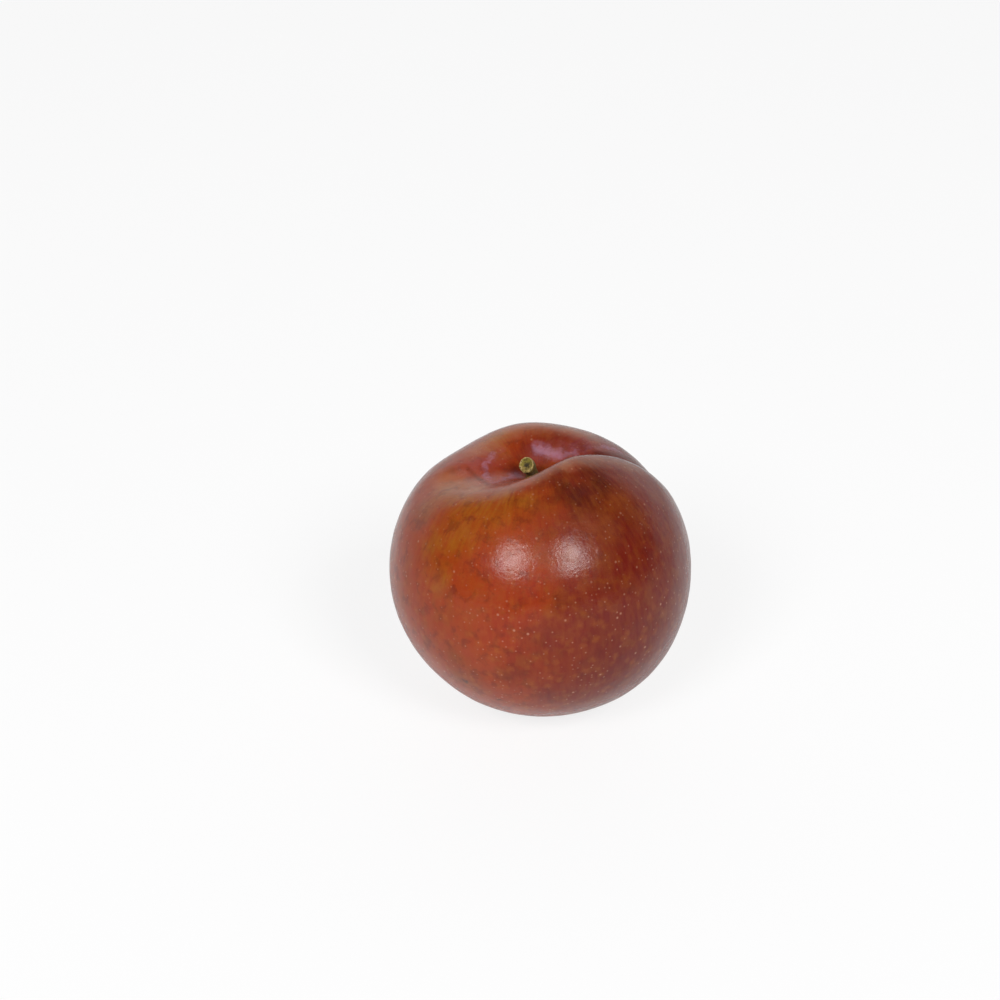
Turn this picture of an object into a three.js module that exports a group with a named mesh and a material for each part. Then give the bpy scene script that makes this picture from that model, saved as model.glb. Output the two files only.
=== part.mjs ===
// A ripe red plum with its short stem, standing on a small flat spot beside its blossom end.
// Millimetres, +Z up. The origin is on the flat spot, straight below the middle of the fruit.
// The fruit is one solid. The stem is a second one, and stands in a pit in the stem cavity.

import * as THREE from "three";
import { mergeVertices } from "three/addons/utils/BufferGeometryUtils.js";

// The body before its hollows is an ellipsoid, a little wider above its middle.
const BODY_RADIUS = 30;
const BODY_TAPER = 0.012;
const HALF_HEIGHT = 29.2;

// The suture is the seam that runs from the stem down one side to the blossom end.
// It is a fine crease along the bottom of a wide valley, which is deepest on the shoulder.
// Azimuths and polar angles are in degrees. Azimuth 0 is +X, 90 is +Y, and polar angle 0 is up.
const SEAM_AZIMUTH = 21;
const CREASE = { depth: 0.55, spread: 1.25, start: 1.5, full: 5, fadesFrom: 140, endsAt: 168 };

// Valleys begin at the stem and reach their full depth a little way out. Each is deepest at a
// polar angle, and its two sides, clockwise and anticlockwise from above, differ in width.
const VALLEY_FULL = 5;
const SEAM_VALLEY = {
  azimuth: SEAM_AZIMUTH, depth: 2, clockwise: 3.8, anticlockwise: 6.5, polar: 40, reach: 28,
};
// A shorter valley, the trough, leaves the cavity on the side away from the seam. Its near side
// is a gentle ledge, and its far side is steep.
const TROUGH = { azimuth: 183, depth: 1.6, clockwise: 1.8, anticlockwise: 6, polar: 31, reach: 10 };

// The stem cavity is drawn out along the seam. Its walls close in from the broad end, behind the
// stem, to the narrow end, where it runs out into the valley. The near wall is the steeper one.
const CAVITY = { depth: 8.2, seamReach: 10.5, backReach: 12, roundness: 1.9 };
const CAVITY_ENDS = { broad: -14, narrow: 8 };
const NEAR_WALL = { broad: 8.2, narrow: 4 };
const FAR_WALL = { broad: 10.5, narrow: 5 };

// Swells and, with a minus sign, flats. They start a little way out from the stem's pit.
const SWELLS_START = 5;
const SWELLS = [
  { azimuth: 240, polar: 15, spread: 9, height: 0.6 }, // near lip, in front of the stem
  { azimuth: 310, polar: 12, spread: 17, height: 1.4 }, // near cheek, beside the cavity
  { azimuth: 62, polar: 36, spread: 20, height: -0.6 }, // far cheek
  { azimuth: 132, polar: 42, spread: 15, height: -0.9 }, // far left shoulder
  { azimuth: 212, polar: 38, spread: 12, height: 0.6 }, // near side of the trough
  { azimuth: 330, polar: 132, spread: 26, height: 0.8 }, // lower right
  { azimuth: 207, polar: 125, spread: 24, height: -0.3 }, // lower left
];

// The scar that the flower left, a dimple at the seam's lower end.
const SCAR = { polar: 166, radius: 1.3, depth: 0.45 };

// The fruit leans to the left, and its lowest slice is missing, which leaves the flat spot.
const LEAN = 4;
const FLAT_SLICE = 0.5;
const MIDDLE_HEIGHT = HALF_HEIGHT - FLAT_SLICE;

// The stem curves away from its pit, past a slight waist, and flares to its broken end.
// Places along it are shares of its length. The end has a rounded rim and a shallow hollow.
const STEM = { radius: 1.35, endRadius: 1.6, length: 5.7, lean: 50, azimuth: 240 };
const STEM_WAIST = { depth: 0.14, middle: 0.45, spread: 0.2 };
const STEM_FLARE = { from: 0.5, to: 0.9 };
const STEM_RIBS = { count: 7, height: 0.045, from: 0.1, to: 0.4 };
const STEM_RIM = { height: 0.25, radiusShare: 0.86 };
const STEM_HOLLOW = { depth: 0.5, radiusShare: 0.5 };

// The pit leaves a clear gap all round the stem's foot.
const CLEARANCE = 0.3;
const PIT_RADIUS = STEM.radius + CLEARANCE;
const PIT_DEPTH = 1.1;

// Facets. Rings are at polar angles, and segments crowd towards the seam to keep its crease fine.
const SEGMENTS = 84;
const CROWDING = 0.6;
const RINGS = [
  { from: 180, to: 172, step: 4 }, // flat spot
  { from: 170, to: 162, step: 2 }, // scar
  { from: 158, to: 63, step: 5 }, // flank
  { from: 60, to: 12, step: 3 }, // shoulder
];
const CAVITY_RINGS = 6;
const STEM_SEGMENTS = 28;
const STEM_RINGS = 12;

const radians = THREE.MathUtils.degToRad;
const degrees = THREE.MathUtils.radToDeg;
const { lerp, smoothstep } = THREE.MathUtils;
const bell = (distance, spread) => Math.exp(-((distance / spread) ** 2));

// The unit vector from the fruit's middle at an azimuth and a polar angle.
function direction(azimuth, polar) {
  const [a, p] = [radians(azimuth), radians(polar)];
  return new THREE.Vector3(Math.sin(p) * Math.cos(a), Math.sin(p) * Math.sin(a), Math.cos(p));
}

// Half the body's outline as (radius, height above the middle), from its lowest point to the pit.
function bodyProfile() {
  const profile = [];
  for (const { from, to, step } of RINGS) {
    for (let polar = from; polar >= to; polar -= step) {
      const up = Math.cos(radians(polar));
      const radius = BODY_RADIUS * Math.sin(radians(polar)) * (1 + BODY_TAPER * up);
      profile.push(new THREE.Vector2(polar === 180 ? 0 : radius, HALF_HEIGHT * up));
    }
  }
  const edge = profile.at(-1).x;
  for (let ring = 1; ring <= CAVITY_RINGS; ring++) {
    const radius = lerp(edge, PIT_RADIUS, ring / CAVITY_RINGS);
    const height = HALF_HEIGHT * Math.sqrt(1 - (radius / BODY_RADIUS) ** 2);
    profile.push(new THREE.Vector2(radius, height));
  }
  const pitFloor = profile.at(-1).y - PIT_DEPTH;
  profile.push(new THREE.Vector2(PIT_RADIUS, pitFloor), new THREE.Vector2(0, pitFloor));
  return profile;
}

// How far the stem cavity lowers the body at a place along and across the seam, seen from above.
function cavityDrop(along, across) {
  const out = Math.hypot(along, across);
  if (out <= PIT_RADIUS) return CAVITY.depth;
  const wall = across < 0 ? NEAR_WALL : FAR_WALL;
  const closed = smoothstep(along, CAVITY_ENDS.broad, CAVITY_ENDS.narrow);
  const reachAcross = lerp(wall.broad, wall.narrow, closed);
  const reachAlong = along > 0 ? CAVITY.seamReach : CAVITY.backReach;
  const beyondPit = 1 - PIT_RADIUS / out;
  const shareAlong = (Math.abs(along) * beyondPit) / reachAlong;
  const shareAcross = (Math.abs(across) * beyondPit) / reachAcross;
  const rise = shareAlong ** CAVITY.roundness + shareAcross ** CAVITY.roundness;
  return CAVITY.depth * Math.exp(-rise);
}

// How far a place lies along an azimuth, and how far anticlockwise across it, seen from above.
function alongAndAcross(point, azimuth) {
  const ahead = direction(azimuth, 90);
  return [point.x * ahead.x + point.y * ahead.y, point.y * ahead.x - point.x * ahead.y];
}

// How deep the crease of the seam is, on the seam's own side.
function creaseDepth(along, across, polar) {
  const begun = smoothstep(along, CREASE.start, CREASE.full);
  const notEnded = 1 - smoothstep(polar, CREASE.fadesFrom, CREASE.endsAt);
  return CREASE.depth * bell(across, CREASE.spread) * begun * notEnded;
}

// How deep a valley that runs out from the stem lies below the body.
function valleyDepth(valley, point, polar) {
  const [along, across] = alongAndAcross(point, valley.azimuth);
  const begun = smoothstep(along, 0, VALLEY_FULL);
  const width = across < 0 ? valley.clockwise : valley.anticlockwise;
  return valley.depth * begun * bell(across, width) * bell(polar - valley.polar, valley.reach);
}

// Moves a point of the plain body to its place on the finished fruit, before the fruit leans.
function shapeFruit(point) {
  const [along, across] = alongAndAcross(point, SEAM_AZIMUTH);
  const outward = point.clone().normalize();
  const polar = degrees(Math.acos(outward.z));
  const isTop = polar < 90;
  const swollen = isTop ? smoothstep(Math.hypot(along, across), PIT_RADIUS, SWELLS_START) : 1;
  let push = -creaseDepth(along, across, polar);
  push -= valleyDepth(SEAM_VALLEY, point, polar) + valleyDepth(TROUGH, point, polar);
  for (const swell of SWELLS) {
    const away = degrees(outward.angleTo(direction(swell.azimuth, swell.polar)));
    push += swell.height * bell(away, swell.spread) * swollen;
  }
  const fromScar = outward.angleTo(direction(SEAM_AZIMUTH, SCAR.polar)) * BODY_RADIUS;
  push -= SCAR.depth * bell(fromScar, SCAR.radius);
  point.addScaledVector(outward, push);
  if (isTop) point.z -= cavityDrop(along, across);
}

// Turns a point round the axis, so that segments spaced evenly crowd towards the seam.
function crowdToSeam(point) {
  const radius = Math.hypot(point.x, point.y);
  const turn = Math.atan2(point.y, point.x) - radians(SEAM_AZIMUTH);
  const azimuth = radians(SEAM_AZIMUTH) + turn - CROWDING * Math.sin(turn);
  point.x = radius * Math.cos(azimuth);
  point.y = radius * Math.sin(azimuth);
}

// Leaves out the triangles that the lathe's axis has squeezed to a line.
function withoutSlivers(corners) {
  const kept = [];
  for (let i = 0; i < corners.length; i += 3) {
    const [a, b, c] = corners.slice(i, i + 3);
    if (a !== b && b !== c && c !== a) kept.push(a, b, c);
  }
  return kept;
}

// A lathe about +Z as one closed mesh, with each of its vertices moved by a function.
function makeTurned(profile, segments, startAzimuth, move) {
  const lathe = new THREE.LatheGeometry(profile, segments, radians(90 + startAzimuth));
  lathe.deleteAttribute("normal");
  lathe.deleteAttribute("uv");
  lathe.rotateX(Math.PI / 2);
  const geometry = mergeVertices(lathe);
  const places = geometry.getAttribute("position");
  const point = new THREE.Vector3();
  for (let i = 0; i < places.count; i++) {
    move(point.fromBufferAttribute(places, i));
    places.setXYZ(i, point.x, point.y, point.z);
  }
  geometry.setIndex(withoutSlivers(geometry.index.array));
  geometry.computeVertexNormals();
  return geometry;
}

// The leaning frame that the fruit and its stem share, lifted to stand on the flat spot.
const standing = new THREE.Group();
standing.position.z = MIDDLE_HEIGHT;
standing.rotation.y = -radians(LEAN);
standing.updateMatrix();

function makeFruit() {
  const geometry = makeTurned(bodyProfile(), SEGMENTS, SEAM_AZIMUTH, (point) => {
    crowdToSeam(point);
    shapeFruit(point);
    point.applyMatrix4(standing.matrix);
    point.z = Math.max(point.z, 0);
  });
  const skin = new THREE.MeshStandardMaterial({ color: 0x8a2a20, roughness: 0.42, metalness: 0 });
  const fruit = new THREE.Mesh(geometry, skin);
  fruit.name = "fruit";
  return fruit;
}

// Half the outline of the stem while straight as (radius, distance along it), from its foot.
function stemProfile() {
  const { radius, endRadius, length } = STEM;
  const profile = [new THREE.Vector2(0, 0)];
  for (let ring = 0; ring <= STEM_RINGS; ring++) {
    const share = ring / STEM_RINGS;
    const flared = lerp(radius, endRadius, smoothstep(share, STEM_FLARE.from, STEM_FLARE.to));
    const waist = STEM_WAIST.depth * bell(share - STEM_WAIST.middle, STEM_WAIST.spread);
    profile.push(new THREE.Vector2(flared - waist, share * (length - STEM_RIM.height)));
  }
  const hollowSide = length - STEM_HOLLOW.depth / 2;
  profile.push(new THREE.Vector2(endRadius * STEM_RIM.radiusShare, length));
  profile.push(new THREE.Vector2(endRadius * STEM_HOLLOW.radiusShare, hollowSide));
  profile.push(new THREE.Vector2(0, length - STEM_HOLLOW.depth));
  return profile;
}

// Ribs the straight stem and bends it into an arc, from upright at its foot to its full lean.
function shapeStem(point) {
  const share = point.z / STEM.length;
  const ribs = Math.cos(STEM_RIBS.count * Math.atan2(point.y, point.x));
  const thicker = 1 + STEM_RIBS.height * ribs * smoothstep(share, STEM_RIBS.from, STEM_RIBS.to);
  const towards = direction(STEM.azimuth, 90);
  const sideways = direction(STEM.azimuth + 90, 90);
  const inPlane = thicker * point.dot(towards);
  const offPlane = thicker * point.dot(sideways);
  const angle = radians(STEM.lean) * share;
  const arcRadius = STEM.length / radians(STEM.lean);
  const out = arcRadius * (1 - Math.cos(angle)) + inPlane * Math.cos(angle);
  const up = arcRadius * Math.sin(angle) - inPlane * Math.sin(angle);
  point.set(0, 0, up).addScaledVector(towards, out).addScaledVector(sideways, offPlane);
}

function makeStem() {
  const geometry = makeTurned(stemProfile(), STEM_SEGMENTS, 0, shapeStem);
  const bark = new THREE.MeshStandardMaterial({ color: 0x7d6a34, roughness: 0.8, metalness: 0 });
  const stem = new THREE.Mesh(geometry, bark);
  stem.name = "stem";
  stem.position.z = bodyProfile().at(-1).y - CAVITY.depth + CLEARANCE;
  return stem;
}

standing.add(makeStem());

const plum = new THREE.Group();
plum.add(makeFruit(), standing);

export default plum;
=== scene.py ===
# %% [markdown]
# # A ripe red plum
# A plum is one smooth, waxy body with a hollow at the top, a short dry stem standing in that
# hollow, and a seam that runs from the stem down one side. The solids give its form and size.
# This lesson adds what the eye looks for up close: a fine skin over that form, the fibres of
# the stem, and the colours, pale dots and bloom of a ripe fruit.

import math
import random

import bpy
from mathutils import Matrix, Vector


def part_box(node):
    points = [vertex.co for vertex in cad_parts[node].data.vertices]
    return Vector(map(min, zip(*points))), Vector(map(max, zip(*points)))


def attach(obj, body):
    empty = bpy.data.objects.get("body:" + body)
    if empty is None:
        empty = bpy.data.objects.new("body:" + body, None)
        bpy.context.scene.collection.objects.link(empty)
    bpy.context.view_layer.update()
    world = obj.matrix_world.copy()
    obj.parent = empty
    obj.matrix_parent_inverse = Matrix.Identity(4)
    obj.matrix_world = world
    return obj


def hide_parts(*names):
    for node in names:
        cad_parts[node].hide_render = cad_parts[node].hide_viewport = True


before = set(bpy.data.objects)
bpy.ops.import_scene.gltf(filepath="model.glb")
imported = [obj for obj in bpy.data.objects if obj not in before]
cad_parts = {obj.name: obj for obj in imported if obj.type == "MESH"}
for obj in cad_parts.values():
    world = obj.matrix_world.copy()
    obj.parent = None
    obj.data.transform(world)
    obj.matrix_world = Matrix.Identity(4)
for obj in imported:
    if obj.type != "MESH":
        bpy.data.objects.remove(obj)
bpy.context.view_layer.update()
MM = 0.001
print("solids:", sorted(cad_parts))

# %% [markdown]
# ## The camera
# The photograph looks down on the plum at 31 degrees. A long lens is used, as for a product
# picture, because it keeps the sides of a round thing from bulging. The camera is placed so
# that the middle of the fruit falls on the same pixel as in the photograph, and so that the
# fruit has the same width there. That way the lens needs no shift.

# %% Place the camera
PICTURE_SIDE = 1000
MIDDLE_PIXEL = (540, 568.5)
PIXELS_PER_MM = 302 / 60
FOCAL_LENGTH = 100
SENSOR_WIDTH = 36
LOOKS_DOWN = math.radians(31)
MIDDLE = Vector((0, 0, 28.7 * MM))
AIMED_AT = Vector((0, 0, 28.65 * MM))

focal_pixels = PICTURE_SIDE * FOCAL_LENGTH / SENSOR_WIDTH
distance = focal_pixels / PIXELS_PER_MM * MM
forward = Vector((0, math.cos(LOOKS_DOWN), -math.sin(LOOKS_DOWN)))
upward = Vector((0, math.sin(LOOKS_DOWN), math.cos(LOOKS_DOWN)))
off_centre = Vector((PICTURE_SIDE / 2 - MIDDLE_PIXEL[0], 0, 0))
off_centre += upward * (MIDDLE_PIXEL[1] - PICTURE_SIDE / 2)
bpy.ops.object.camera_add(
    location=AIMED_AT - forward * distance + off_centre * (distance / focal_pixels),
    rotation=(math.radians(90) - LOOKS_DOWN, 0, 0),
)
camera = bpy.context.object
camera.name = "camera"
camera.data.lens = FOCAL_LENGTH
camera.data.sensor_width = SENSOR_WIDTH
bpy.context.scene.camera = camera
print("camera at", [round(value, 4) for value in camera.location], "m")

# %% [markdown]
# ## Small helpers
# Edit-mode operators act on whatever is selected. The first function leaves one object selected,
# and the second picks vertices by their place, as a modeller picks them by eye. The third gives a
# soft step, for effects that fade in.

# %% Helpers for selecting
def select_only(piece):
    """Leaves one object selected and active."""
    bpy.ops.object.select_all(action="DESELECT")
    piece.select_set(True)
    bpy.context.view_layer.objects.active = piece


def pick_vertices(piece, chosen):
    """Selects the vertices whose place is chosen, goes into edit mode, and counts them."""
    if piece.mode == "EDIT":
        bpy.ops.object.mode_set(mode="OBJECT")
    mesh = piece.data
    for part in (mesh.polygons, mesh.edges):
        part.foreach_set("select", [False] * len(part))
    picked = [chosen(vertex.co) for vertex in mesh.vertices]
    mesh.vertices.foreach_set("select", picked)
    bpy.ops.object.mode_set(mode="EDIT")
    bpy.ops.mesh.select_mode(type="VERT")
    return sum(picked)


def smoothstep(value, low, high):
    """0 below low, 1 above high, and a soft curve between them."""
    share = min(max((value - low) / (high - low), 0), 1)
    return share * share * (3 - 2 * share)


print("helpers ready")

# %% [markdown]
# ## The skin
# The real skin is one unbroken surface, so it isn't built from a primitive. The solid already
# has the cavity, the cheeks and the seam in the right places, only in flat facets. A copy of
# its mesh is merged into quads, which run round and down the fruit as a modeller would lay
# them, and a subdivision surface then rounds them.

# %% Copy the solid and lay it out in quads
MERGE_DISTANCE = 0.002 * MM

fruit = bpy.data.objects.new("plum_skin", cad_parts["fruit"].data.copy())
bpy.context.scene.collection.objects.link(fruit)
select_only(fruit)
bpy.ops.mesh.customdata_custom_splitnormals_clear()
bpy.ops.object.mode_set(mode="EDIT")
bpy.ops.mesh.select_all(action="SELECT")
bpy.ops.mesh.remove_doubles(threshold=MERGE_DISTANCE)
bpy.ops.mesh.tris_convert_to_quads(face_threshold=math.pi, shape_threshold=math.pi)
bpy.ops.object.mode_set(mode="OBJECT")
corners = [len(face.vertices) for face in fruit.data.polygons]
print("quads:", corners.count(4), "triangles:", corners.count(3))

# %% [markdown]
# The stem of the real fruit has grown into the flesh, with no gap. The solids keep 0.3 mm
# between them, so the skin's pit is drawn in until it meets the stem's foot. The foot is found
# on the stem's own solid. Its lowest ring of corners lies square to the stem.

# %% Close the flesh round the stem
LEAN = math.radians(4)
STEM_RADIUS = 1.35 * MM
PIT_RADIUS = 1.65 * MM
TOUCHES_AT = 1.33 * MM
FOOT_RING_HEIGHT = 0.25 * MM
# Corners this near the axis are the middle of the pit's floor, and stay.
AXIS_GAP = 0.1 * MM
PIT_MARGIN = 1.03

stem_low, stem_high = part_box("stem")
stem_corners = [vertex.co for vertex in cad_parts["stem"].data.vertices]
foot_ring = {
    corner.copy().freeze() for corner in stem_corners
    if corner.z < stem_low.z + FOOT_RING_HEIGHT
}
foot = sum(foot_ring, Vector()) / len(foot_ring)
axis = Vector((-math.sin(LEAN), 0, math.cos(LEAN)))


def from_axis(place):
    """How far a place is from the line through the stem's foot, square to that line."""
    apart = place - foot
    return (apart - axis * apart.dot(axis)).length


def in_pit(place):
    return place.z > MIDDLE.z and AXIS_GAP < from_axis(place) < PIT_RADIUS * PIT_MARGIN


drawn_in = pick_vertices(fruit, in_pit)
closing = TOUCHES_AT / PIT_RADIUS
bpy.ops.transform.resize(value=(closing, closing, 1), center_override=foot)
bpy.ops.object.mode_set(mode="OBJECT")
print("stem's foot in mm:", [round(value / MM, 2) for value in foot], "corners in the pit:", drawn_in)

# %% [markdown]
# The seam of a plum is a soft valley with a hair-thin crease at its bottom. The facets can only
# show the valley, so the one row of corners that lies on the seam is pushed in a little more
# before the surface is subdivided. Because its neighbours stay, the crease keeps a fine edge.

# %% Sharpen the seam
SEAM_AZIMUTH = math.radians(21)
ON_SEAM = 0.08 * MM
CREASE_STARTS = 5 * MM
CREASE_ENDS_POLAR = math.radians(135)
CREASE_PUSH = 0.16 * MM

upright = Matrix.Rotation(LEAN, 4, "Y")
seam_outward = Vector((math.cos(SEAM_AZIMUTH), math.sin(SEAM_AZIMUTH), 0))
seam_sideways = Vector((-math.sin(SEAM_AZIMUTH), math.cos(SEAM_AZIMUTH), 0))


def standing_straight(place):
    """A place on the fruit as seen from its middle, with the lean taken out."""
    return upright @ (place - MIDDLE)


def on_crease(place):
    straight = standing_straight(place)
    polar = straight.angle(Vector((0, 0, 1)))
    beside = abs(straight.dot(seam_sideways))
    return beside < ON_SEAM and straight.dot(seam_outward) > CREASE_STARTS and polar < CREASE_ENDS_POLAR


creased = pick_vertices(fruit, on_crease)
bpy.ops.transform.shrink_fatten(value=-CREASE_PUSH)
bpy.ops.object.mode_set(mode="OBJECT")
print("corners pushed into the crease:", creased)

# %% [markdown]
# Two levels of Catmull-Clark subdivision give a surface on which no facet shows in a highlight.
# A ripe fruit is never perfectly round, so a Displace modifier with a cloud texture then adds
# swells a tenth of a millimetre high. Its vertex group fades out at the flat spot, which has
# to stay flat, and round the stem, where the flesh has to keep touching.

# %% Subdivide and add the soft swells
SUBDIVISIONS = 2
SWELL_HEIGHT = 0.16 * MM
SWELL_WIDTH = 6 * MM
# The swells fade in over these heights, and over these distances from the axis.
FADES_ABOVE_SPOT = (0.4 * MM, 3 * MM)
FADES_BEYOND_STEM = (2 * MM, 5 * MM)

select_only(fruit)
rounding = fruit.modifiers.new("rounding", "SUBSURF")
rounding.levels = SUBDIVISIONS
rounding.render_levels = SUBDIVISIONS
bpy.ops.object.modifier_apply(modifier=rounding.name)

swelling = fruit.vertex_groups.new(name="swelling")
for vertex in fruit.data.vertices:
    weight = smoothstep(vertex.co.z, *FADES_ABOVE_SPOT)
    if vertex.co.z > MIDDLE.z:
        weight *= smoothstep(from_axis(vertex.co), *FADES_BEYOND_STEM)
    swelling.add([vertex.index], weight, "REPLACE")
clouds = bpy.data.textures.new("soft swells", "CLOUDS")
clouds.noise_scale = SWELL_WIDTH
swells = fruit.modifiers.new("swells", "DISPLACE")
swells.texture = clouds
swells.texture_coords = "LOCAL"
swells.vertex_group = swelling.name
swells.strength = SWELL_HEIGHT
bpy.ops.object.modifier_apply(modifier=swells.name)
bpy.ops.object.shade_smooth()
print("skin faces:", len(fruit.data.polygons), "lowest point in mm:",
      round(min(vertex.co.z for vertex in fruit.data.vertices) / MM, 4))

# %% [markdown]
# ## The stem
# The stem is a stub of dry wood, 3 mm thick, that curves over and ends where it broke from the
# tree. A curve with a bevel would give an even tube. This one has a waist, a flared end and
# shrunken ribs, so it is modelled as by hand: a disc is extruded step by step, and each new
# ring is moved, turned and resized on its way along the bend.

# %% The line and the thickness of the stem
STEM_LENGTH = 5.7 * MM
STEM_BEND = math.radians(50)
STEM_AZIMUTH = math.radians(240)
END_RADIUS = 1.6 * MM
WAIST = {"depth": 0.14 * MM, "middle": 0.45, "spread": 0.2}
FLARE = {"from": 0.5, "to": 0.9}

foot_frame = Matrix.Translation(foot) @ Matrix.Rotation(-LEAN, 4, "Y")
towards = Vector((math.cos(STEM_AZIMUTH), math.sin(STEM_AZIMUTH), 0))
sideways = Vector((-math.sin(STEM_AZIMUTH), math.cos(STEM_AZIMUTH), 0))
arc_radius = STEM_LENGTH / STEM_BEND


def stem_centre(share):
    """The middle of the stem at a share of its length."""
    angle = STEM_BEND * share
    out = arc_radius * (1 - math.cos(angle))
    return foot_frame @ (towards * out + Vector((0, 0, arc_radius * math.sin(angle))))


def stem_direction(share):
    """The way the stem points at a share of its length."""
    angle = STEM_BEND * share
    return foot_frame.to_3x3() @ (towards * math.sin(angle) + Vector((0, 0, math.cos(angle))))


def stem_radius(share):
    """How thick the stem is at a share of its length."""
    flared = STEM_RADIUS + (END_RADIUS - STEM_RADIUS) * smoothstep(share, FLARE["from"], FLARE["to"])
    from_waist = (share - WAIST["middle"]) / WAIST["spread"]
    return flared - WAIST["depth"] * math.exp(-(from_waist**2))


print("end of the stem in mm:", [round(value / MM, 2) for value in stem_centre(1)])

# %% [markdown]
# The disc starts over the foot, square to the fruit's axis. Each extrusion moves its face one
# step along the bend. The new ring is then resized, and turned to lie square to the stem again.

# %% Grow the stem from a disc
STEM_SIDES = 28
STEM_STEPS = 12
RIM_HEIGHT = 0.25 * MM

bpy.ops.object.select_all(action="DESELECT")
bpy.ops.mesh.primitive_circle_add(
    vertices=STEM_SIDES, radius=stem_radius(0), fill_type="NGON", location=foot, rotation=(0, -LEAN, 0)
)
stem = bpy.context.object
stem.name = "plum_stem"
bpy.ops.object.transform_apply(location=True, rotation=True, scale=True)


def turn_ring(last, share):
    """Turns the selected ring so that it is square to the stem again."""
    turn = stem_direction(last).rotation_difference(stem_direction(share)).to_matrix().to_4x4()
    there = Matrix.Translation(stem_centre(share))
    bpy.ops.object.mode_set(mode="OBJECT")
    for vertex in stem.data.vertices:
        if vertex.select:
            vertex.co = there @ turn @ there.inverted() @ vertex.co
    bpy.ops.object.mode_set(mode="EDIT")


bpy.ops.object.mode_set(mode="EDIT")
bpy.ops.mesh.select_mode(type="FACE")
bpy.ops.mesh.select_all(action="SELECT")
rim_share = 1 - RIM_HEIGHT / STEM_LENGTH
shares = [rim_share * step / STEM_STEPS for step in range(STEM_STEPS + 1)]
for last, share in zip(shares, shares[1:]):
    step = stem_centre(share) - stem_centre(last)
    bpy.ops.mesh.extrude_region_move(TRANSFORM_OT_translate={"value": step})
    growth = stem_radius(share) / stem_radius(last)
    bpy.ops.transform.resize(value=(growth, growth, growth), center_override=stem_centre(share))
    turn_ring(last, share)
print("rings along the stem:", len(shares))

# %% [markdown]
# The broken end has a rounded rim of bark and a sunken middle where the pith has dried out.
# Each of its steps is one more extrusion of the end face, a little narrower than the last.

# %% Shape the broken end
END_STEPS = [
    {"rise": RIM_HEIGHT * 0.7, "narrower": 0.95},
    {"rise": RIM_HEIGHT * 0.3, "narrower": 0.9},
    {"rise": -0.1 * MM, "narrower": 0.84},
    {"rise": -0.16 * MM, "narrower": 0.72},
    {"rise": -0.24 * MM, "narrower": 0.5},
]
UNEVENNESS = 0.05 * MM
UNEVEN_SEED = 4
BEYOND_RIM = 0.01

end_direction = stem_direction(rim_share)
end_centre = stem_centre(rim_share)
for end_step in END_STEPS:
    rise = end_direction * end_step["rise"]
    narrower = end_step["narrower"]
    bpy.ops.mesh.extrude_region_move(TRANSFORM_OT_translate={"value": rise})
    end_centre = end_centre + rise
    bpy.ops.transform.resize(value=(narrower, narrower, narrower), center_override=end_centre)
bpy.ops.mesh.poke()
bpy.ops.object.mode_set(mode="OBJECT")


def along_and_round(place):
    """A place on the stem as a share of its length and an angle round it."""
    local = foot_frame.inverted() @ place
    inward = arc_radius - local.dot(towards)
    share = math.atan2(local.z, inward) / STEM_BEND
    out_of_bend = arc_radius - math.hypot(inward, local.z)
    return share, math.atan2(local.dot(sideways), out_of_bend)


on_end = pick_vertices(stem, lambda place: along_and_round(place)[0] > rim_share + BEYOND_RIM)
bpy.ops.transform.vertex_random(offset=UNEVENNESS, seed=UNEVEN_SEED)
bpy.ops.object.mode_set(mode="OBJECT")
print("corners on the broken end:", on_end)

# %% [markdown]
# As the stem dried, its fibres stayed and the bark between them shrank. So each row of corners
# along the stem is fattened or shrunk by its own small amount. The amounts come from a seeded
# generator, which gives the same stem every time.

# %% Shrink the bark between the fibres
FIBRE_HEIGHT = 0.085 * MM
FIBRE_SEED = 11
FIBRES_START = 0.08
# The shares of the length between which the first row's angle is read.
MIDDLE_SHARES = (0.3, 0.5)

fibre_draw = random.Random(FIBRE_SEED)
side_width = math.tau / STEM_SIDES
row_reach = side_width / 3
roundings = [along_and_round(vertex.co) for vertex in stem.data.vertices]
first_row = min(
    angle for share, angle in roundings if MIDDLE_SHARES[0] < share < MIDDLE_SHARES[1]
)
for row in range(STEM_SIDES):
    row_angle = first_row + row * side_width

    def in_row(place):
        share, angle = along_and_round(place)
        beside = math.remainder(angle - row_angle, math.tau)
        return FIBRES_START < share < 1 and abs(beside) < row_reach

    corners_in_row = pick_vertices(stem, in_row)
    if corners_in_row:
        bpy.ops.transform.shrink_fatten(value=fibre_draw.uniform(-FIBRE_HEIGHT, FIBRE_HEIGHT))
bpy.ops.object.mode_set(mode="OBJECT")
print("corners in the last row:", corners_in_row)

# %% [markdown]
# The stem gets the same two levels of subdivision as the skin. A Displace modifier with a fine
# cloud texture then gives the bark its grain.

# %% Round the stem and roughen its bark
BARK_GRAIN = 0.35 * MM
BARK_HEIGHT = 0.06 * MM

select_only(stem)
stem_rounding = stem.modifiers.new("rounding", "SUBSURF")
stem_rounding.levels = SUBDIVISIONS
stem_rounding.render_levels = SUBDIVISIONS
bpy.ops.object.modifier_apply(modifier=stem_rounding.name)
grain = bpy.data.textures.new("bark grain", "CLOUDS")
grain.noise_scale = BARK_GRAIN
roughening = stem.modifiers.new("roughening", "DISPLACE")
roughening.texture = grain
roughening.texture_coords = "LOCAL"
roughening.strength = BARK_HEIGHT
bpy.ops.object.modifier_apply(modifier=roughening.name)
bpy.ops.object.shade_smooth()
stem_box = [[round(value / MM, 2) for value in corner] for corner in (stem_low, stem_high)]
print("stem faces:", len(stem.data.polygons), "solid's box in mm:", stem_box)

# %% [markdown]
# ## Tools for the finishes
# A material here is a stack of colours, each laid over the last through a mask. These helpers
# add one node at a time, fill its sockets, and join it to others.

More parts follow.
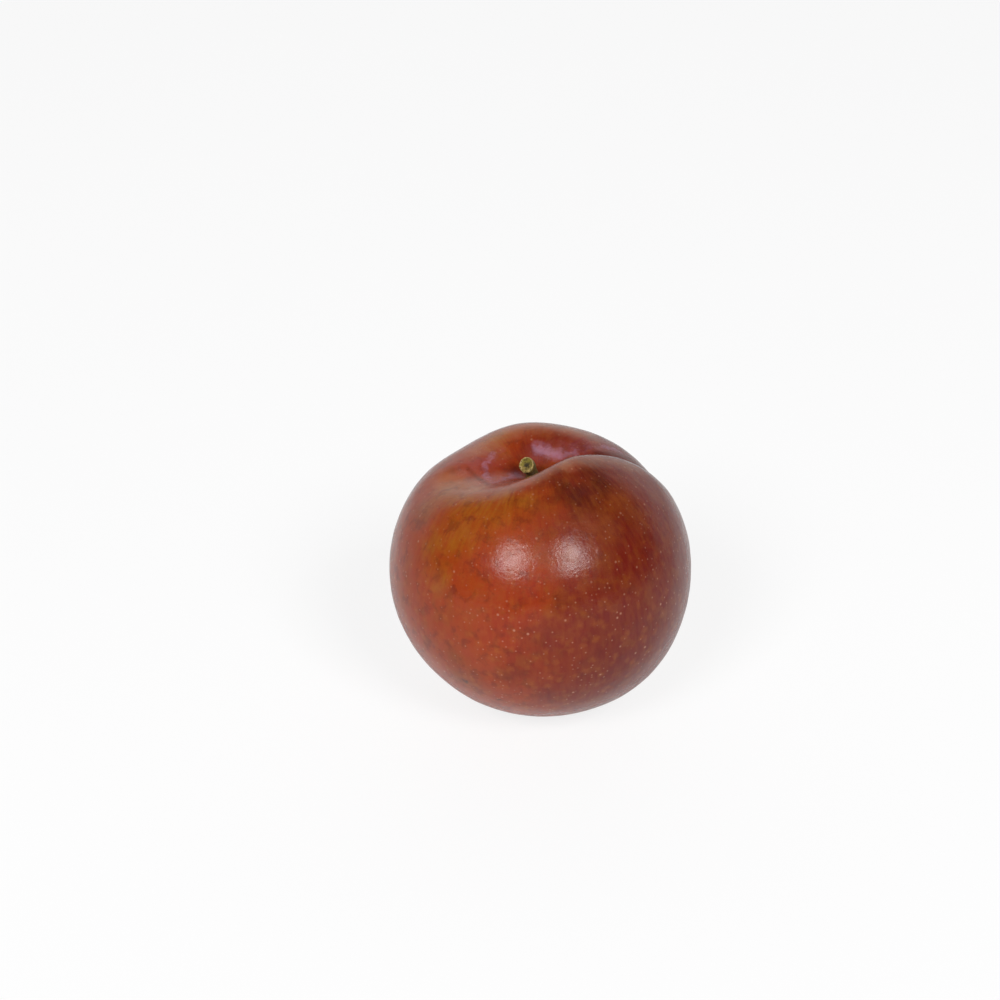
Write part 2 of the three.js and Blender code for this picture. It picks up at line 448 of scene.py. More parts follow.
# %% Helpers for nodes
SCALE_FACTOR = 3
GIVES_NUMBER = ("DOT_PRODUCT", "DISTANCE", "LENGTH")


def add_node(tree, kind, values, **settings):
    """Adds a node, sets its properties, and fills or links its sockets."""
    made = tree.nodes.new(kind)
    for name, value in settings.items():
        setattr(made, name, value)
    for name, value in values.items():
        if isinstance(value, bpy.types.NodeSocket):
            tree.links.new(value, made.inputs[name])
        else:
            made.inputs[name].default_value = value
    return made


def calculate(tree, operation, first, second=0.0, **settings):
    """One Math node. Returns its output."""
    made = add_node(tree, "ShaderNodeMath", {0: first, 1: second}, operation=operation, **settings)
    return made.outputs[0]


def calculate_vector(tree, operation, first, second=(0, 0, 0)):
    """One Vector Math node. Returns its vector, or the number that a few operations give."""
    second_socket = SCALE_FACTOR if operation == "SCALE" else 1
    values = {0: first, second_socket: second}
    made = add_node(tree, "ShaderNodeVectorMath", values, operation=operation)
    return made.outputs["Value" if operation in GIVES_NUMBER else "Vector"]


print("node helpers ready")

# %% [markdown]
# Every effect starts as a mask, a number from 0 to 1 for each place. A soft fade makes one from
# any value, and a mix lays a colour over another through it. A mask that is needed again and
# again goes into a node group.

# %% Helpers for masks and colours
# A Mix node has sockets for several kinds of data. These are the ones for colours.
MIX_UNDER, MIX_OVER, MIX_RESULT = 6, 7, 2


def fade_between(tree, value, nothing_at, full_at):
    """0 where a value is on one side of a range, 1 on the other, and a soft curve between."""
    return add_node(
        tree, "ShaderNodeMapRange", {"Value": value, "From Min": nothing_at, "From Max": full_at},
        interpolation_type="SMOOTHSTEP",
    ).outputs["Result"]


def lay_over(tree, under, over, mask):
    """Lays one colour over another through a mask."""
    values = {0: mask, MIX_UNDER: under, MIX_OVER: over}
    return add_node(tree, "ShaderNodeMix", values, data_type="RGBA").outputs[MIX_RESULT]


def new_group(name, inputs):
    """A shader node group that puts out one mask, and its two end nodes."""
    group = bpy.data.node_groups.new(name, "ShaderNodeTree")
    for label, kind in inputs.items():
        group.interface.new_socket(label, in_out="INPUT", socket_type=f"NodeSocket{kind}")
    group.interface.new_socket("Mask", in_out="OUTPUT", socket_type="NodeSocketFloat")
    return group, group.nodes.new("NodeGroupInput").outputs, group.nodes.new("NodeGroupOutput").inputs


print("mask helpers ready")

# %% [markdown]
# The finishes are painted with the same four tools, so each tool is a node group. The soft spot
# is full in its middle and fades to nothing at its radius. The brush stroke does the same along
# a line between two places.

# %% The soft spot and the brush stroke
spot, given, result = new_group(
    "Soft spot", {"Place": "Vector", "Centre": "Vector", "Radius": "Float", "Core": "Float"}
)
from_centre = calculate_vector(spot, "DISTANCE", given["Place"], given["Centre"])
radii_away = calculate(spot, "DIVIDE", from_centre, given["Radius"])
spot.links.new(fade_between(spot, radii_away, 1.0, given["Core"]), result["Mask"])

stroke, given, result = new_group(
    "Brush stroke", {"Place": "Vector", "From": "Vector", "To": "Vector", "Radius": "Float"}
)
line = calculate_vector(stroke, "SUBTRACT", given["To"], given["From"])
reached = calculate_vector(stroke, "SUBTRACT", given["Place"], given["From"])
line_squared = calculate_vector(stroke, "DOT_PRODUCT", line, line)
reached_along = calculate_vector(stroke, "DOT_PRODUCT", reached, line)
share_along = calculate(stroke, "DIVIDE", reached_along, line_squared, use_clamp=True)
aside = calculate_vector(stroke, "SUBTRACT", reached, calculate_vector(stroke, "SCALE", line, share_along))
radii_away = calculate(stroke, "DIVIDE", calculate_vector(stroke, "LENGTH", aside), given["Radius"])
stroke.links.new(fade_between(stroke, radii_away, 1.0, 0.0), result["Mask"])
print("groups:", spot.name, "and", stroke.name)

# %% [markdown]
# The other two tools are made from noise. The mottle is cloudy noise, cut to the contrast that a
# finish needs. The specks are small dots, one in each cell of a Voronoi pattern, and only a
# share of the cells has one.

# %% The mottle and the specks
SPECK_CORE = 0.1

mottle, given, result = new_group(
    "Mottle", {"Place": "Vector", "Size": "Float", "Low": "Float", "High": "Float"}
)
cloudy = add_node(
    mottle, "ShaderNodeTexNoise",
    {
        "Vector": given["Place"], "Scale": calculate(mottle, "DIVIDE", 1.0, given["Size"]),
        "Detail": 3.0, "Roughness": 0.55,
    },
).outputs[0]
mottle.links.new(fade_between(mottle, cloudy, given["Low"], given["High"]), result["Mask"])

specks, given, result = new_group(
    "Specks", {"Place": "Vector", "Spacing": "Float", "Radius": "Float", "Share": "Float"}
)
cells = add_node(
    specks, "ShaderNodeTexVoronoi",
    {"Vector": given["Place"], "Scale": calculate(specks, "DIVIDE", 1.0, given["Spacing"])},
)
from_dot = calculate(specks, "MULTIPLY", cells.outputs["Distance"], given["Spacing"])
dot = fade_between(specks, calculate(specks, "DIVIDE", from_dot, given["Radius"]), 1.0, SPECK_CORE)
draw = add_node(specks, "ShaderNodeSeparateColor", {"Color": cells.outputs["Color"]}).outputs[0]
present = calculate(specks, "LESS_THAN", draw, given["Share"])
specks.links.new(calculate(specks, "MULTIPLY", dot, present), result["Mask"])
print("groups:", mottle.name, "and", specks.name)

# %% [markdown]
# The colours are placed by direction from the middle of the fruit, as a painter turns a fruit
# in the hand. A ray from the middle finds the place on the skin. A spot is one place with a
# radius, and a line is several places that a stroke joins.

# %% Helpers that place the masks
def place_group(tree, group, values):
    """Places a node group in a tree, fills its sockets, and returns its mask."""
    return add_node(tree, "ShaderNodeGroup", values, node_tree=group).outputs["Mask"]


# The ray has to meet the skin as it is after the last modifier.
bpy.context.view_layer.update()


def on_skin(azimuth, polar):
    """The place on the skin in a direction from the middle, given in degrees."""
    azimuth, polar = math.radians(azimuth), math.radians(polar)
    level = math.sin(polar)
    outward = Vector((level * math.cos(azimuth), level * math.sin(azimuth), math.cos(polar)))
    return fruit.ray_cast(MIDDLE, outward)[1]


def paint_line(tree, place, points, radius):
    """A mask along a line of (azimuth, polar angle) points, with a radius in mm."""
    mask = 0.0
    corners = [on_skin(*point) for point in points]
    for start, end in zip(corners, corners[1:]):
        values = {"Place": place, "From": start, "To": end, "Radius": radius * MM}
        mask = calculate(tree, "MAXIMUM", place_group(tree, stroke, values), mask)
    return mask


def paint_spots(tree, place, spots, core=0.0):
    """One mask that covers spots. A spot is (azimuth, polar angle, radius in mm)."""
    mask = 0.0
    for azimuth, polar, radius in spots:
        centre = on_skin(azimuth, polar)
        values = {"Place": place, "Centre": centre, "Radius": radius * MM, "Core": core}
        mask = calculate(tree, "MAXIMUM", place_group(tree, spot, values), mask)
    return mask


print("top of the far cheek in mm:", [round(value / MM, 1) for value in on_skin(90, 25)])

# %% [markdown]
# Clouds and specks cover the whole skin, so they need no place of their own. Any mask can be
# weakened, or lifted so that a little of it is left everywhere.

# %% Helpers for masks that cover everything
def paint_clouds(tree, place, kind):
    """A mottled mask. Its kind gives the clouds' size, and the noise values at their edges."""
    values = {"Place": place, "Size": kind["size"], "Low": kind["low"], "High": kind["high"]}
    return place_group(tree, mottle, values)


def paint_specks(tree, place, kind):
    """A mask of small dots. Its kind gives their spacing, radius and share."""
    return place_group(
        tree, specks,
        {"Place": place, "Spacing": kind["spacing"], "Radius": kind["radius"], "Share": kind["share"]},
    )


def weaken(tree, mask, share):
    """A mask that is only a share as strong. The share may be a number or another mask."""
    return calculate(tree, "MULTIPLY", mask, share)


def keep_least(tree, mask, least):
    """A mask that is lifted, so that even its weakest places keep a little."""
    return calculate(tree, "ADD", weaken(tree, mask, 1 - least), least)


print("layer helpers ready")

# %% [markdown]
# ## The skin's colours
# This plum is red over a yellow-orange ground. The side that hung in the sun is maroon, and the
# shaded side is a bright brick red, which turns amber below the lip of the cavity. A little
# noise added to each place makes the edges between the colours ragged.

# %% Start the skin's material
BROAD_NOISE = {"size": 6 * MM, "reach": 9 * MM}
FINE_NOISE = {"size": 1.6 * MM, "reach": 2.4 * MM}
NOISE_MIDDLE = (0.5, 0.5, 0.5)


def new_material(name):
    """A material with a Principled BSDF, its tree, and a socket with places on the piece."""
    material = bpy.data.materials.new(name)
    material.use_nodes = True
    tree = material.node_tree
    place = tree.nodes.new("ShaderNodeTexCoord").outputs["Object"]
    return material, tree, tree.nodes["Principled BSDF"], place


def make_ragged(tree, place, noise):
    """The same places, each pushed a little way by noise."""
    values = {"Vector": place, "Scale": 1 / noise["size"], "Detail": 3.0}
    drawn = add_node(tree, "ShaderNodeTexNoise", values).outputs["Color"]
    centred = calculate_vector(tree, "SUBTRACT", drawn, NOISE_MIDDLE)
    push = calculate_vector(tree, "SCALE", centred, noise["reach"])
    return calculate_vector(tree, "ADD", place, push)


skin, tree, skin_shader, place = new_material("Ripe plum skin")
broad_place = make_ragged(tree, place, BROAD_NOISE)
fine_place = make_ragged(tree, place, FINE_NOISE)
print("skin material started")

# %% [markdown]
# The colour in the skin runs in short streaks from the stem to the blossom end. A place turned
# into a direction round the axis, and squeezed along it, makes noise come out as such streaks.

# %% Streaks that run from stem to blossom end
STREAK_SQUEEZE = 0.35
STREAK_RING = 30 * MM

straighten = add_node(
    tree, "ShaderNodeMapping",
    {"Vector": place, "Location": tuple(-(upright @ MIDDLE)), "Rotation": (0, LEAN, 0)},
).outputs[0]
outward = calculate_vector(tree, "NORMALIZE", calculate_vector(tree, "MULTIPLY", straighten, (1, 1, 0)))
ring_place = calculate_vector(tree, "SCALE", outward, STREAK_RING)
along_axis = calculate_vector(tree, "SCALE", straighten, STREAK_SQUEEZE)
streak_place = calculate_vector(tree, "ADD", ring_place, along_axis)
print("streaks ready")

# %% [markdown]
# Under everything lie two colours, one for the side that hung in the sun and one for the side in
# the shade. They meet in a wide, soft band, which runs down the fruit in the photograph.

# %% The sunny side and the shaded side
BRICK_RED = (0.262, 0.03, 0.002, 1)
MAROON = (0.122, 0.006, 0.001, 1)
SUNNY_AZIMUTH = math.radians(352)
SUNNY_SIDE = {"from": -5 * MM, "full": 17 * MM}

towards_sun = (math.cos(SUNNY_AZIMUTH), math.sin(SUNNY_AZIMUTH), 0)
sunward = calculate_vector(tree, "DOT_PRODUCT", broad_place, towards_sun)
sunny = fade_between(tree, sunward, SUNNY_SIDE["from"], SUNNY_SIDE["full"])
colour = lay_over(tree, BRICK_RED, MAROON, sunny)
print("sunny side reaches full colour at", SUNNY_SIDE["full"] / MM, "mm from the middle")

# %% [markdown]
# Over these two, smaller patches of five colours break the surface up. The far side, which the
# photograph doesn't show, gets its own from a seeded draw.

# %% Patches of colour
# Each spot is (azimuth, polar angle, radius in mm).
AMBER_SPOTS = [
    (230, 39, 9), (214, 40, 8), (243, 34, 6), (197, 43, 7), (229, 50, 7), (218, 56, 5),
    (258, 31, 4), (134, 27, 5), (215, 62, 5), (225, 70, 5),
]
MAROON_SPOTS = [
    (273, 86, 8), (279, 70, 5), (285, 75, 6), (262, 100, 7), (286, 45, 5), (274, 113, 9),
    (297, 95, 8), (120, 14, 6), (70, 18, 6), (170, 18, 4), (45, 23, 4.5),
    (90, 18, 5.5), (66, 21, 5), (268, 23, 4), (240, 29, 4), (290, 20, 3),
]
DARK_SPOTS = [(300, 31, 7), (288, 28, 4.5), (318, 29, 6)]
BROWN_SPOTS = [
    (324, 42, 7), (303, 45, 7), (296, 58, 4), (238, 110, 7), (236, 99, 5), (266, 34, 6),
    (196, 52, 6),
]
CRIMSON_SPOTS = [(255, 79, 8), (262, 64, 7), (250, 60, 6), (262, 92, 6), (157, 20, 6), (120, 17, 5)]
HIDDEN_SEED = 7
HIDDEN_SPOTS = ((AMBER_SPOTS, 7), (MAROON_SPOTS, 9), (BROWN_SPOTS, 5))
# The ranges of the azimuth, the polar angle and the radius in mm.
HIDDEN_RANGES = ((20, 200), (45, 150), (4, 9))

draw_side = random.Random(HIDDEN_SEED)
for spots, how_many in HIDDEN_SPOTS:
    for _ in range(how_many):
        spots.append(tuple(draw_side.uniform(low, high) for low, high in HIDDEN_RANGES))
print("amber, maroon and brown spots:", len(AMBER_SPOTS), len(MAROON_SPOTS), len(BROWN_SPOTS))

# %% [markdown]
# Each kind of patch is one colour, laid through one mask. The amber comes last. It is weaker
# between its streaks, where the red under it shows.

# %% Lay the patches
CRIMSON = (0.22, 0.013, 0.001, 1)
BROWN = (0.18, 0.038, 0.005, 1)
DARK_RED = (0.055, 0.006, 0.001, 1)
AMBER = (0.28, 0.08, 0.004, 1)
PATCHES = [
    (CRIMSON, CRIMSON_SPOTS, 0.7), (MAROON, MAROON_SPOTS, 0.7), (BROWN, BROWN_SPOTS, 0.65),
    (DARK_RED, DARK_SPOTS, 0.85),
]
AMBER_STRENGTH = 0.95
STREAKS = {"size": 1.3 * MM, "low": 0.32, "high": 0.66, "least": 0.5}

for over, spots, strength in PATCHES:
    colour = lay_over(tree, colour, over, weaken(tree, paint_spots(tree, broad_place, spots), strength))
streaks = paint_clouds(tree, streak_place, STREAKS)
streaky = keep_least(tree, streaks, STREAKS["least"])
amber = weaken(tree, paint_spots(tree, broad_place, AMBER_SPOTS), AMBER_STRENGTH)
colour = lay_over(tree, colour, AMBER, weaken(tree, amber, streaky))
print("nodes so far:", len(tree.nodes))

# %% [markdown]
# Close up, the colour breaks into olive and dark blotches a few millimetres wide, and into
# flecks. Soft yellow spots a millimetre or two wide shine through the red, mostly below the
# shoulder.

# %% Add the blotches and the flecks
OLIVE = (0.2, 0.05, 0.003, 1)
YELLOW_FLECK = (0.34, 0.1, 0.01, 1)
DARK_FLECK = (0.09, 0.006, 0.001, 1)
YELLOW_FLECKS = {"spacing": 2.3 * MM, "radius": 1.15 * MM, "share": 0.85, "strength": 0.22}
FLECK_NOISE = {"size": 0.8 * MM, "reach": 1.5 * MM}
STREAK_STRENGTH = 0.1
SHOULDER = {"from": 26 * MM, "to": -2 * MM}
BLOTCHES = [
    {"colour": OLIVE, "size": 3.6 * MM, "low": 0.48, "high": 0.7, "strength": 0.3},
    {"colour": DARK_FLECK, "size": 2.3 * MM, "low": 0.48, "high": 0.7, "strength": 0.45},
]

for kind in BLOTCHES:
    blotch = weaken(tree, paint_clouds(tree, fine_place, kind), kind["strength"])
    colour = lay_over(tree, colour, kind["colour"], blotch)
colour = lay_over(tree, colour, YELLOW_FLECK, weaken(tree, streaks, STREAK_STRENGTH))
height = add_node(tree, "ShaderNodeSeparateXYZ", {0: straighten}).outputs["Z"]
below_shoulder = fade_between(tree, height, SHOULDER["from"], SHOULDER["to"])
fleck_place = make_ragged(tree, place, FLECK_NOISE)
yellow = weaken(tree, paint_specks(tree, fleck_place, YELLOW_FLECKS), YELLOW_FLECKS["strength"])
colour = lay_over(tree, colour, YELLOW_FLECK, weaken(tree, yellow, below_shoulder))
print("kinds of blotch:", len(BLOTCHES))

# %% [markdown]
# Bloom is the powdery wax on a plum. Handling rubs it off the cheeks, and it stays in the
# cavity and along the seam, where it looks lavender over the red. It is painted in strokes that
# noise breaks up. It also makes the skin rougher.

# %% Dust the bloom
BLOOM = (0.42, 0.26, 0.4, 1)
# Each line is (strength, radius in mm, points as azimuth and polar angle).
BLOOM_LINES = [
    (0.3, 1.1, [(149, 25), (168, 27), (192, 26)]),
    (0.24, 1.6, [(200, 25), (195, 20), (169, 12.3)]),
    (0.4, 2.2, [(92, 14.5), (56, 15)]),
    (0.26, 1.5, [(62, 13.4), (44, 18), (40, 20.6)]),
    (0.12, 1.5, [(38, 26), (36, 32)]),
    (0.32, 1.2, [(36.5, 34), (34, 42)]),
    (0.07, 4, [(90, 13), (42, 24), (36, 40)]),
    (0.08, 4.5, [(150, 25), (175, 34), (200, 25)]),
    (0.2, 1.3, [(21, 62), (21, 80), (21, 100)]),
]
TORN = {"size": 1.5 * MM, "low": 0.3, "high": 0.58, "least": 0.45}
VEIL = {"size": 5 * MM, "low": 0.35, "high": 0.8, "strength": 0.012}

bloom = 0.0
for strength, radius, points in BLOOM_LINES:
    painted = weaken(tree, paint_line(tree, fine_place, points, radius), strength)
    bloom = calculate(tree, "MAXIMUM", painted, bloom)
torn = keep_least(tree, paint_clouds(tree, fine_place, TORN), TORN["least"])
veil = weaken(tree, paint_clouds(tree, fine_place, VEIL), VEIL["strength"])
bloom = calculate(tree, "ADD", weaken(tree, bloom, torn), veil)
colour = lay_over(tree, colour, BLOOM, bloom)
print("bloom strokes:", len(BLOOM_LINES))

# %% [markdown]
# Along the crest of each lip and in the trough, a pale sheen with no sharp edge is painted into
# the colour. It is a painted reflection of the bright wall, which the skin mirrors at a glancing angle.
# In the seam and in the fold of the trough, painted shade darkens the skin.

# %% Painted sheen on the crests and painted shade in the folds
# Painted reflection: a pale sheen along the crests and in the trough, where the skin mirrors the bright
# wall.
PAINTED_SHEEN = (0.6, 0.43, 0.27, 1)
PAINTED_SHEEN_LINES = [
    (0.1, 2.4, [(236, 29.3), (260, 22.7), (299, 18)]),
    (0.1, 2.8, [(299, 18), (325, 20.5), (342, 24.2), (1, 39)]),
    (0.16, 4.2, [(150, 32), (130, 29), (95, 24), (70, 26.5), (52, 33)]),
    (0.19, 4.6, [(181, 43), (186, 37), (205, 32.5)]),
]
# Painted shade: dark strokes in the seam, beside its crease, and in the fold of the trough.
PAINTED_FOLD_SHADE = (0.07, 0.008, 0.002, 1)
PAINTED_FOLD_SHADE_LINES = [
    (0.4, 0.9, [(174, 33), (190, 28.4), (205, 27)]),
    (0.75, 1.2, [(26, 17), (29, 30), (29, 45), (27, 58)]),
]

for over, lines, where in ((PAINTED_SHEEN, PAINTED_SHEEN_LINES, fine_place), (PAINTED_FOLD_SHADE, PAINTED_FOLD_SHADE_LINES, place)):
    for strength, radius, points in lines:
        painted = weaken(tree, paint_line(tree, where, points, radius), strength)
        colour = lay_over(tree, colour, over, painted)
print("crests and folds:", len(PAINTED_SHEEN_LINES), len(PAINTED_FOLD_SHADE_LINES))

# %% [markdown]
# The pale dots are lenticels, the pores of the skin. They are about a third of a millimetre wide,
# and show more towards the blossom end. They also stand a little proud, so the relief below uses
# them again.

# %% Scatter the pale dots
DOT = (0.47, 0.24, 0.15, 1)
DOTS = [
    {"spacing": 1.15 * MM, "radius": 0.27 * MM, "share": 0.75, "strength": 0.42},
    {"spacing": 2.8 * MM, "radius": 0.38 * MM, "share": 0.7, "strength": 0.65},
]
FEWEST_DOTS = 0.5

dots = 0.0
for kind in DOTS:
    some = weaken(tree, paint_specks(tree, place, kind), kind["strength"])
    dots = calculate(tree, "MAXIMUM", some, dots)
colour = lay_over(tree, colour, DOT, weaken(tree, dots, keep_least(tree, below_shoulder, FEWEST_DOTS)))
print("kinds of dot:", len(DOTS))

# %% [markdown]
# Where the stem enters, the skin ends in a narrow brown collar of cork. A few dark marks from
# rubbing twigs lie low on the near side.

# %% Add the collar and the marks
CORK = (0.1, 0.045, 0.018, 1)
COLLAR = {"radius": 2.3 * MM, "core": 0.62, "strength": 0.85}
MARK = (0.035, 0.012, 0.01, 1)
MARK_STRENGTH = 0.7
MARK_CORE = 0.3
MARK_SPOTS = [(329, 117.4, 0.55), (251.5, 119.7, 0.5), (235, 113.7, 0.4), (238, 112, 0.9)]

values = {"Place": fine_place, "Centre": foot, "Radius": COLLAR["radius"], "Core": COLLAR["core"]}
collar = weaken(tree, place_group(tree, spot, values), COLLAR["strength"])
colour = lay_over(tree, colour, CORK, collar)
marks = paint_spots(tree, fine_place, MARK_SPOTS, core=MARK_CORE)
colour = lay_over(tree, colour, MARK, weaken(tree, marks, MARK_STRENGTH))
tree.links.new(colour, skin_shader.inputs["Base Color"])
print("skin colour joined")

# %% [markdown]
# The skin's gloss is soft, because the wax scatters some of it. Roughness varies a little from
# place to place and rises with the bloom. A thin, rough coat gives the wide, faint halo that wax
# leaves round a highlight. The relief is a bump of a few hundredths of a
# millimetre, from the dots and from two sizes of noise, and it breaks up the highlights.

# %% Set the gloss and the relief
SKIN_ROUGHNESS = {"wax": 0.19, "varies": 0.08, "bloom": 0.3}
RUBBED = {"size": 2 * MM, "low": 0.3, "high": 0.75}
# The heights are in mm.
PORES = {"size": 0.35 * MM, "low": 0.2, "high": 0.8, "height": 0.007}
PEEL = {"size": 1.2 * MM, "low": 0.2, "high": 0.8, "height": 0.026}
DOT_HEIGHT = 0.012
WAX_AND_FLESH = {
    "IOR": 1.3,
    "Coat Weight": 0.28,
    "Coat Roughness": 0.45,
    "Coat IOR": 1.35,
    "Subsurface Weight": 0.1,
    "Subsurface Radius": (1.0, 0.25, 0.12),
    "Subsurface Scale": 1.5 * MM,
}

rough = weaken(tree, paint_clouds(tree, fine_place, RUBBED), SKIN_ROUGHNESS["varies"])
rough = calculate(tree, "ADD", rough, SKIN_ROUGHNESS["wax"])
rough = calculate(tree, "ADD", rough, weaken(tree, bloom, SKIN_ROUGHNESS["bloom"]))
tree.links.new(rough, skin_shader.inputs["Roughness"])

relief = weaken(tree, dots, DOT_HEIGHT)
for layer in (PORES, PEEL):
    raised = weaken(tree, paint_clouds(tree, place, layer), layer["height"])
    relief = calculate(tree, "ADD", relief, raised)
bump = add_node(tree, "ShaderNodeBump", {"Height": relief, "Strength": 1.0, "Distance": 1 * MM})
tree.links.new(bump.outputs["Normal"], skin_shader.inputs["Normal"])
for socket, value in WAX_AND_FLESH.items():
    skin_shader.inputs[socket].default_value = value
fruit.data.materials.clear()
fruit.data.materials.append(skin)
print("nodes in the skin:", len(tree.nodes))

# %% [markdown]
# ## The stem's finish
# The bark is olive brown, with darker shrunken furrows, grey and dusty ridges, and small pits.

# %% Colour the bark
BARK = (0.16, 0.105, 0.02, 1)
BARK_DARK = (0.05, 0.03, 0.01, 1)
BARK_GREY = (0.33, 0.25, 0.16, 1)
BARK_NOISE = {"size": 0.4 * MM, "reach": 0.5 * MM}
FURROWS = {"size": 0.5 * MM, "low": 0.42, "high": 0.66, "strength": 0.7}
DUST = {"size": 0.9 * MM, "low": 0.52, "high": 0.75, "strength": 0.6, "height": 0.05}
PITS = {"spacing": 0.45 * MM, "radius": 0.11 * MM, "share": 0.5, "strength": 0.6}
BARK_BUMP = {"Strength": 0.6, "Distance": 0.05 * MM}
BARK_ROUGHNESS = {"bare": 0.72, "dust": 0.15}

bark, tree, bark_shader, place = new_material("Dry stem bark")
fine_place = make_ragged(tree, place, BARK_NOISE)
furrows = paint_clouds(tree, fine_place, FURROWS)
dust = paint_clouds(tree, fine_place, DUST)
pits = paint_specks(tree, place, PITS)
colour = lay_over(tree, BARK, BARK_DARK, weaken(tree, furrows, FURROWS["strength"]))
colour = lay_over(tree, colour, BARK_GREY, weaken(tree, dust, DUST["strength"]))
colour = lay_over(tree, colour, BARK_DARK, weaken(tree, pits, PITS["strength"]))
tree.links.new(colour, bark_shader.inputs["Base Color"])
bark_relief = calculate(tree, "SUBTRACT", weaken(tree, dust, DUST["height"]), pits)
bump = add_node(tree, "ShaderNodeBump", {"Height": bark_relief, **BARK_BUMP})
tree.links.new(bump.outputs["Normal"], bark_shader.inputs["Normal"])
rough = calculate(tree, "ADD", weaken(tree, dust, BARK_ROUGHNESS["dust"]), BARK_ROUGHNESS["bare"])
tree.links.new(rough, bark_shader.inputs["Roughness"])
print("bark nodes:", len(tree.nodes))

# %% [markdown]
# The broken end has a tan rim. Inside it, on the upper side, is the green layer that was once
# alive. The rest is ochre wood, with a dark hole where the pith was. These lie like rings that
# aren't quite centred, and are measured in the plane of the end.

# %% Colour the broken end
RIM_TAN = (0.38, 0.27, 0.1, 1)
LAYER_GREEN = (0.165, 0.128, 0.01, 1)
WOOD_OCHRE = (0.25, 0.17, 0.04, 1)
HOLE_BROWN = (0.03, 0.02, 0.003, 1)
# Each ring is (colour, radius in mm, core, mm towards the upper side, mm sideways, strength).
END_RINGS = [
    (LAYER_GREEN, 1.42, 0.8, 0.05, 0, 0.95),
    (WOOD_OCHRE, 1.15, 0.7, -0.6, 0.1, 0.95),
    (HOLE_BROWN, 0.85, 0.25, -0.05, -0.05, 1.0),
]
END_NOISE = {"size": 0.6 * MM, "reach": 1.2 * MM}
CRACKS = {"size": 0.32 * MM, "low": 0.5, "high": 0.66, "strength": 0.9}
CRACKS_BUMP = {"Strength": 0.7, "Distance": 0.06 * MM}
END_ROUGHNESS = 0.85

broken, tree, end_shader, place = new_material("Broken stem end")
end_upper = (Vector((0, 0, 1)) - stem_direction(1) * stem_direction(1).z).normalized()
end_side = end_upper.cross(stem_direction(1))
fine_place = make_ragged(tree, place, END_NOISE)
from_end = calculate_vector(tree, "SUBTRACT", fine_place, stem_centre(1))
above_end = calculate_vector(tree, "PROJECT", from_end, stem_direction(1))
flat_place = calculate_vector(tree, "SUBTRACT", fine_place, above_end)
colour = RIM_TAN
for over, radius, core, up, aside, strength in END_RINGS:
    centre = stem_centre(1) + (end_upper * up + end_side * aside) * MM
    values = {"Place": flat_place, "Centre": centre, "Radius": radius * MM, "Core": core}
    colour = lay_over(tree, colour, over, weaken(tree, place_group(tree, spot, values), strength))
cracks = paint_clouds(tree, fine_place, CRACKS)
colour = lay_over(tree, colour, HOLE_BROWN, weaken(tree, cracks, CRACKS["strength"]))
tree.links.new(colour, end_shader.inputs["Base Color"])
bump = add_node(tree, "ShaderNodeBump", {"Height": cracks, **CRACKS_BUMP}, invert=True)
tree.links.new(bump.outputs["Normal"], end_shader.inputs["Normal"])
end_shader.inputs["Roughness"].default_value = END_ROUGHNESS
print("rings on the broken end:", len(END_RINGS))

# %% [markdown]
# Both finishes go on the one mesh of the stem. A face is part of the broken end if it lies in
# the last quarter of the stem and looks along it.

# %% Give the stem its two finishes
END_STARTS = 0.75
LOOKS_ALONG = 0.3

stem.data.materials.clear()
for material in (bark, broken):
    stem.data.materials.append(material)
for face in stem.data.polygons:
    faces_out = face.normal.dot(stem_direction(1)) > LOOKS_ALONG
    face.material_index = int(faces_out and along_and_round(face.center)[0] > END_STARTS)
print("faces on the broken end:", sum(face.material_index for face in stem.data.polygons))

# %% [markdown]
# ## Each piece takes its place
# Both pieces stand for the solids that they were made from, and ride on the one body that the
# plum is.

# %% Join the pieces to the solids
PLACES = {fruit: ("fruit", "skin"), stem: ("stem", "stem")}
for piece, (node_name, slot_name) in PLACES.items():
    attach(piece, "root")
    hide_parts(node_name)
    print(piece.name, "stands for", node_name)

# %% [markdown]
# ## The studio
# The plum stands on a white floor that glows a little, as a light table does, so that shadows on
# it stay faint. Only the camera sees the glow, and it leaves the plum's underside as dark as on
# plain white card.

# %% Floor
FLOOR_SIDE = 6
FLOOR_GLOW = 0.8
FLOOR_ROUGHNESS = 0.7
FLOOR_WHITE = (0.94, 0.94, 0.94, 1)
FLOOR_SHADE = (0.91, 0.91, 0.915, 1)
FLOOR_CLOUDS = {"size": 0.3, "low": 0.3, "high": 0.7}

bpy.ops.object.select_all(action="DESELECT")
bpy.ops.mesh.primitive_plane_add(size=FLOOR_SIDE, location=(0, 0, 0))
floor = bpy.context.object
floor.name = "floor"
floor_finish, tree, floor_shader, place = new_material("Matt white floor")
shade = lay_over(tree, FLOOR_WHITE, FLOOR_SHADE, paint_clouds(tree, place, FLOOR_CLOUDS))
tree.links.new(shade, floor_shader.inputs["Base Color"])
floor_shader.inputs["Roughness"].default_value = FLOOR_ROUGHNESS
seen = add_node(tree, "ShaderNodeLightPath", {}).outputs["Is Camera Ray"]
glow = add_node(tree, "ShaderNodeEmission", {"Color": FLOOR_WHITE, "Strength": 1 / FLOOR_WHITE[0]})
lit = add_node(
    tree, "ShaderNodeMixShader",
    {0: weaken(tree, seen, FLOOR_GLOW), 1: floor_shader.outputs[0], 2: glow.outputs[0]},
)
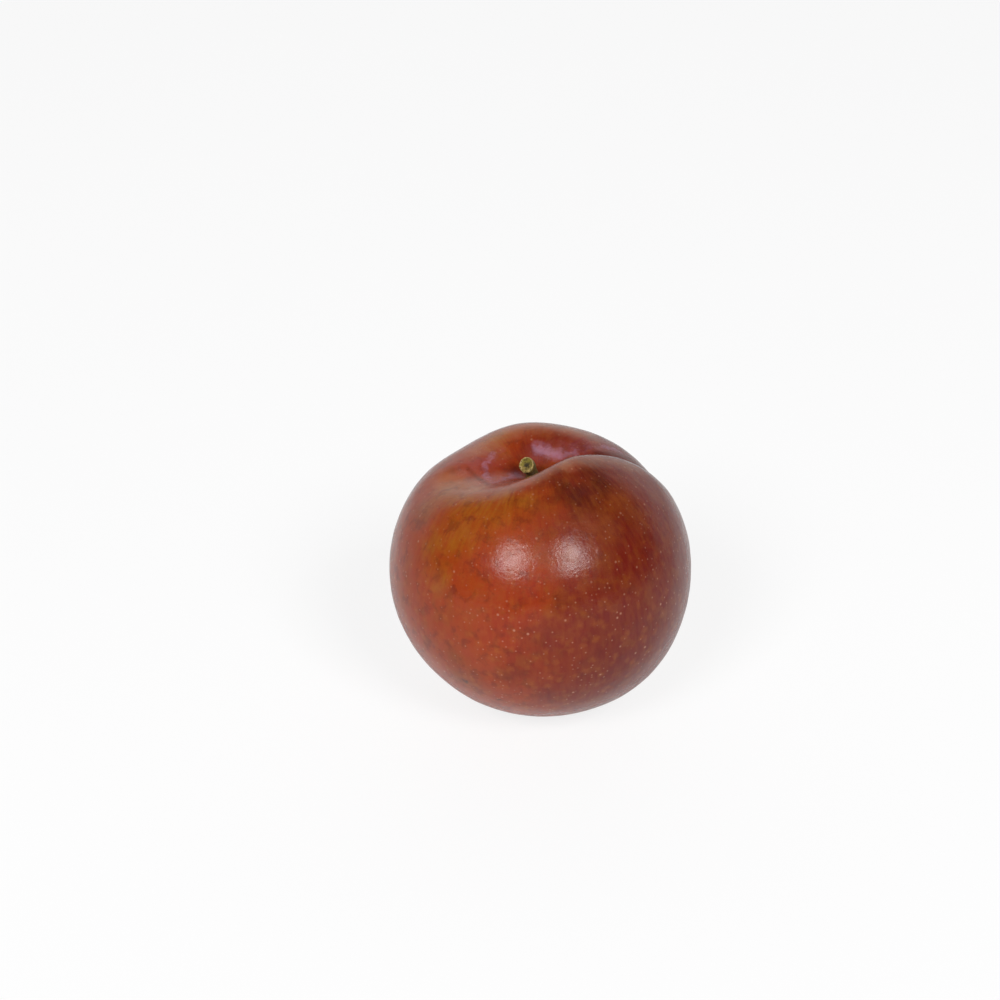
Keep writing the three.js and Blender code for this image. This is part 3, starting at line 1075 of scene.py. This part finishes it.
tree.links.new(lit.outputs[0], tree.nodes["Material Output"].inputs["Surface"])
floor.data.materials.append(floor_finish)
print("floor side in m:", FLOOR_SIDE)

# %% [markdown]
# Two square soft boxes flank the camera. Each one shows in the skin as a soft square highlight.
# Their directions are worked out from where those highlights lie, because a highlight is a
# mirror image of its lamp.

# %% Lights
SOFTBOXES = {"left": (242.8, 38.5), "right": (299.8, 40.7)}
SOFTBOX_SIDE = 0.68
SOFTBOX_AWAY = 2.0
SOFTBOX_WATTS = 24.5

for name, (azimuth, elevation) in SOFTBOXES.items():
    azimuth, elevation = math.radians(azimuth), math.radians(elevation)
    level = math.cos(elevation)
    outward = Vector((level * math.cos(azimuth), level * math.sin(azimuth), math.sin(elevation)))
    bpy.ops.object.light_add(
        type="AREA", location=MIDDLE + outward * SOFTBOX_AWAY,
        rotation=outward.to_track_quat("Z", "Y").to_euler(),
    )
    softbox = bpy.context.object
    softbox.name = f"softbox_{name}"
    softbox.data.shape = "SQUARE"
    softbox.data.size = SOFTBOX_SIDE
    softbox.data.energy = SOFTBOX_WATTS
print("soft boxes:", list(SOFTBOXES))

# %% [markdown]
# The world is a white wall behind the plum and a dim room on the camera's side. A wet or waxy
# skin mirrors what lies behind it only at a glancing angle, so the wall gives the pale bands
# along the fruit's edges and on the crest of each lip, and the dim side keeps the colours deep
# where the skin faces the camera.

# %% World
WALL_WHITE = (1.0, 1.0, 1.0, 1)
ROOM_GREY = (0.085, 0.085, 0.09, 1)
TURNS_GREY = {"from": 0.4, "to": 0.0}

world = bpy.data.worlds.new("light tent")
world.use_nodes = True
tree = world.node_tree
sky = tree.nodes.new("ShaderNodeTexCoord").outputs["Generated"]
behind = calculate_vector(tree, "DOT_PRODUCT", sky, forward)
fade = fade_between(tree, behind, TURNS_GREY["from"], TURNS_GREY["to"])
tree.links.new(lay_over(tree, WALL_WHITE, ROOM_GREY, fade), tree.nodes["Background"].inputs["Color"])
bpy.context.scene.world = world
bpy.context.scene.view_settings.view_transform = "Standard"
print("world set")
